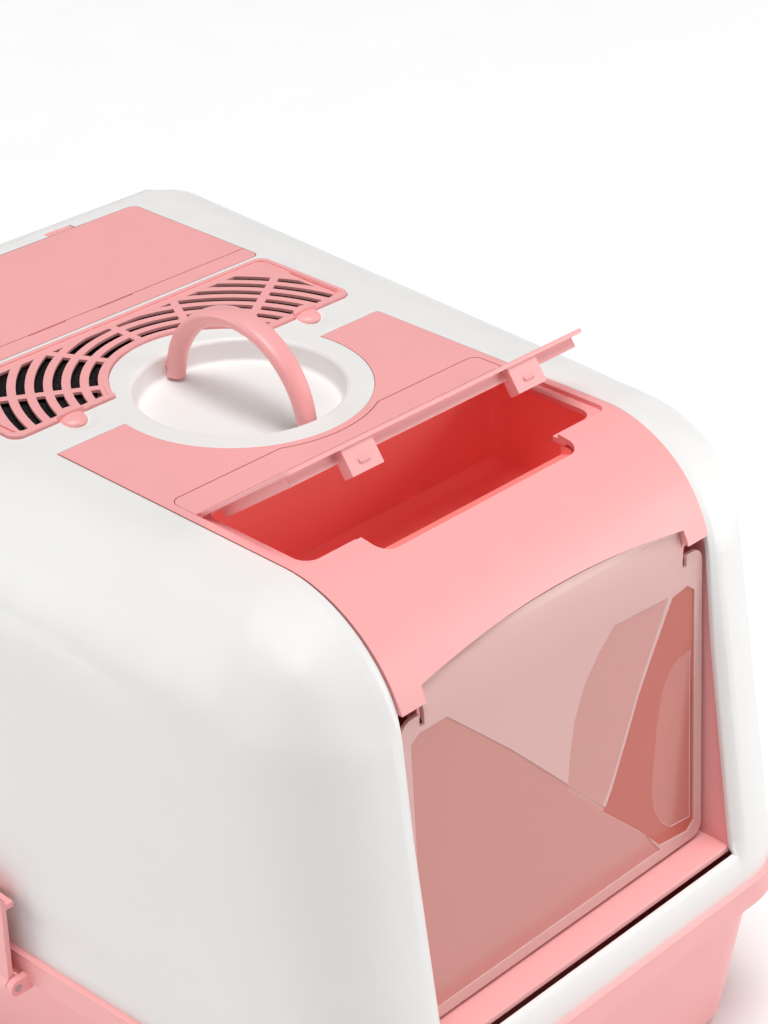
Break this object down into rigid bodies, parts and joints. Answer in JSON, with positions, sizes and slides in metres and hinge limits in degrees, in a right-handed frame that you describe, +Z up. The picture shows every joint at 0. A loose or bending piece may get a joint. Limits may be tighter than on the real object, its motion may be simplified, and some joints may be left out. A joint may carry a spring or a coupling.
{
  "type": "cat litter box with hood",
  "caption": "Hooded cat litter box: base tray, tilting hood, see-through swing door, storage bin with lid, carry handle, vent with carbon filter and rear scoop hatch.",
  "frame": {"origin": "centre of the footprint, on the floor under the base tray, directly below the centre of the carry handle's round recess", "axes": "+X across the box, to the right when seen from the door; +Y from the door to the back; +Z up"},
  "size_m": [0.428, 0.5641, 0.4396],
  "materials": {
    "pink_plastic": "satin",
    "white_plastic": "satin",
    "clear_rose": "polished",
    "carbon_pad": "matt",
    "steel": "brushed"
  },
  "bodies": {
    "tray": {"base_tray": "pink_plastic", "tray_hinge_pins": "steel", "latch_pins": "steel"},
    "left_latch": {"left_latch": "pink_plastic"},
    "right_latch": {"right_latch": "pink_plastic"},
    "hood": {"hood_shell": "white_plastic", "front_panel": "pink_plastic", "door_frame": "pink_plastic", "storage_bin": "pink_plastic", "storage_lid_base": "pink_plastic", "carbon_filter": "carbon_pad", "filter_tray": "pink_plastic", "scoop_hatch_base": "pink_plastic", "scoop_bin": "pink_plastic", "litter_scoop": "pink_plastic"},
    "door": {"door_flap": "clear_rose"},
    "storage_lid": {"storage_lid": "pink_plastic"},
    "handle": {"carry_handle": "pink_plastic"},
    "grille": {"filter_grille": "pink_plastic"},
    "hatch": {"scoop_hatch": "pink_plastic"}
  },
  "joints": [
    {"name": "hood_tilt", "type": "hinge", "parent": "tray", "child": "hood", "pos_m": [0, 0.283, 0.131], "axis": [-1, 0, 0], "range_deg": [0, 50]},
    {"name": "left_latch_swing", "type": "hinge", "parent": "tray", "child": "left_latch", "pos_m": [-0.206, 0, 0.112], "axis": [0, -1, 0], "range_deg": [0, 70]},
    {"name": "right_latch_swing", "type": "hinge", "parent": "tray", "child": "right_latch", "pos_m": [0.206, 0, 0.112], "axis": [0, 1, 0], "range_deg": [0, 70]},
    {"name": "door_swing", "type": "hinge", "parent": "hood", "child": "door", "pos_m": [0, -0.226, 0.333], "axis": [1, 0, 0], "range_deg": [-75, 75]},
    {"name": "storage_lid_hinge", "type": "hinge", "parent": "hood", "child": "storage_lid", "pos_m": [0, -0.09, 0.395], "axis": [-1, 0, 0], "range_deg": [-36.5, 68.5]},
    {"name": "handle_fold", "type": "hinge", "parent": "hood", "child": "handle", "pos_m": [0, 0, 0.388], "axis": [0, 1, 0], "range_deg": [-88, 88]},
    {"name": "grille_hinge", "type": "hinge", "parent": "hood", "child": "grille", "pos_m": [0, 0.1155, 0.395], "axis": [-1, 0, 0], "range_deg": [0, 80]},
    {"name": "hatch_hinge", "type": "hinge", "parent": "hood", "child": "hatch", "pos_m": [0, 0.135, 0.395], "axis": [1, 0, 0], "range_deg": [0, 95]}
  ]
}
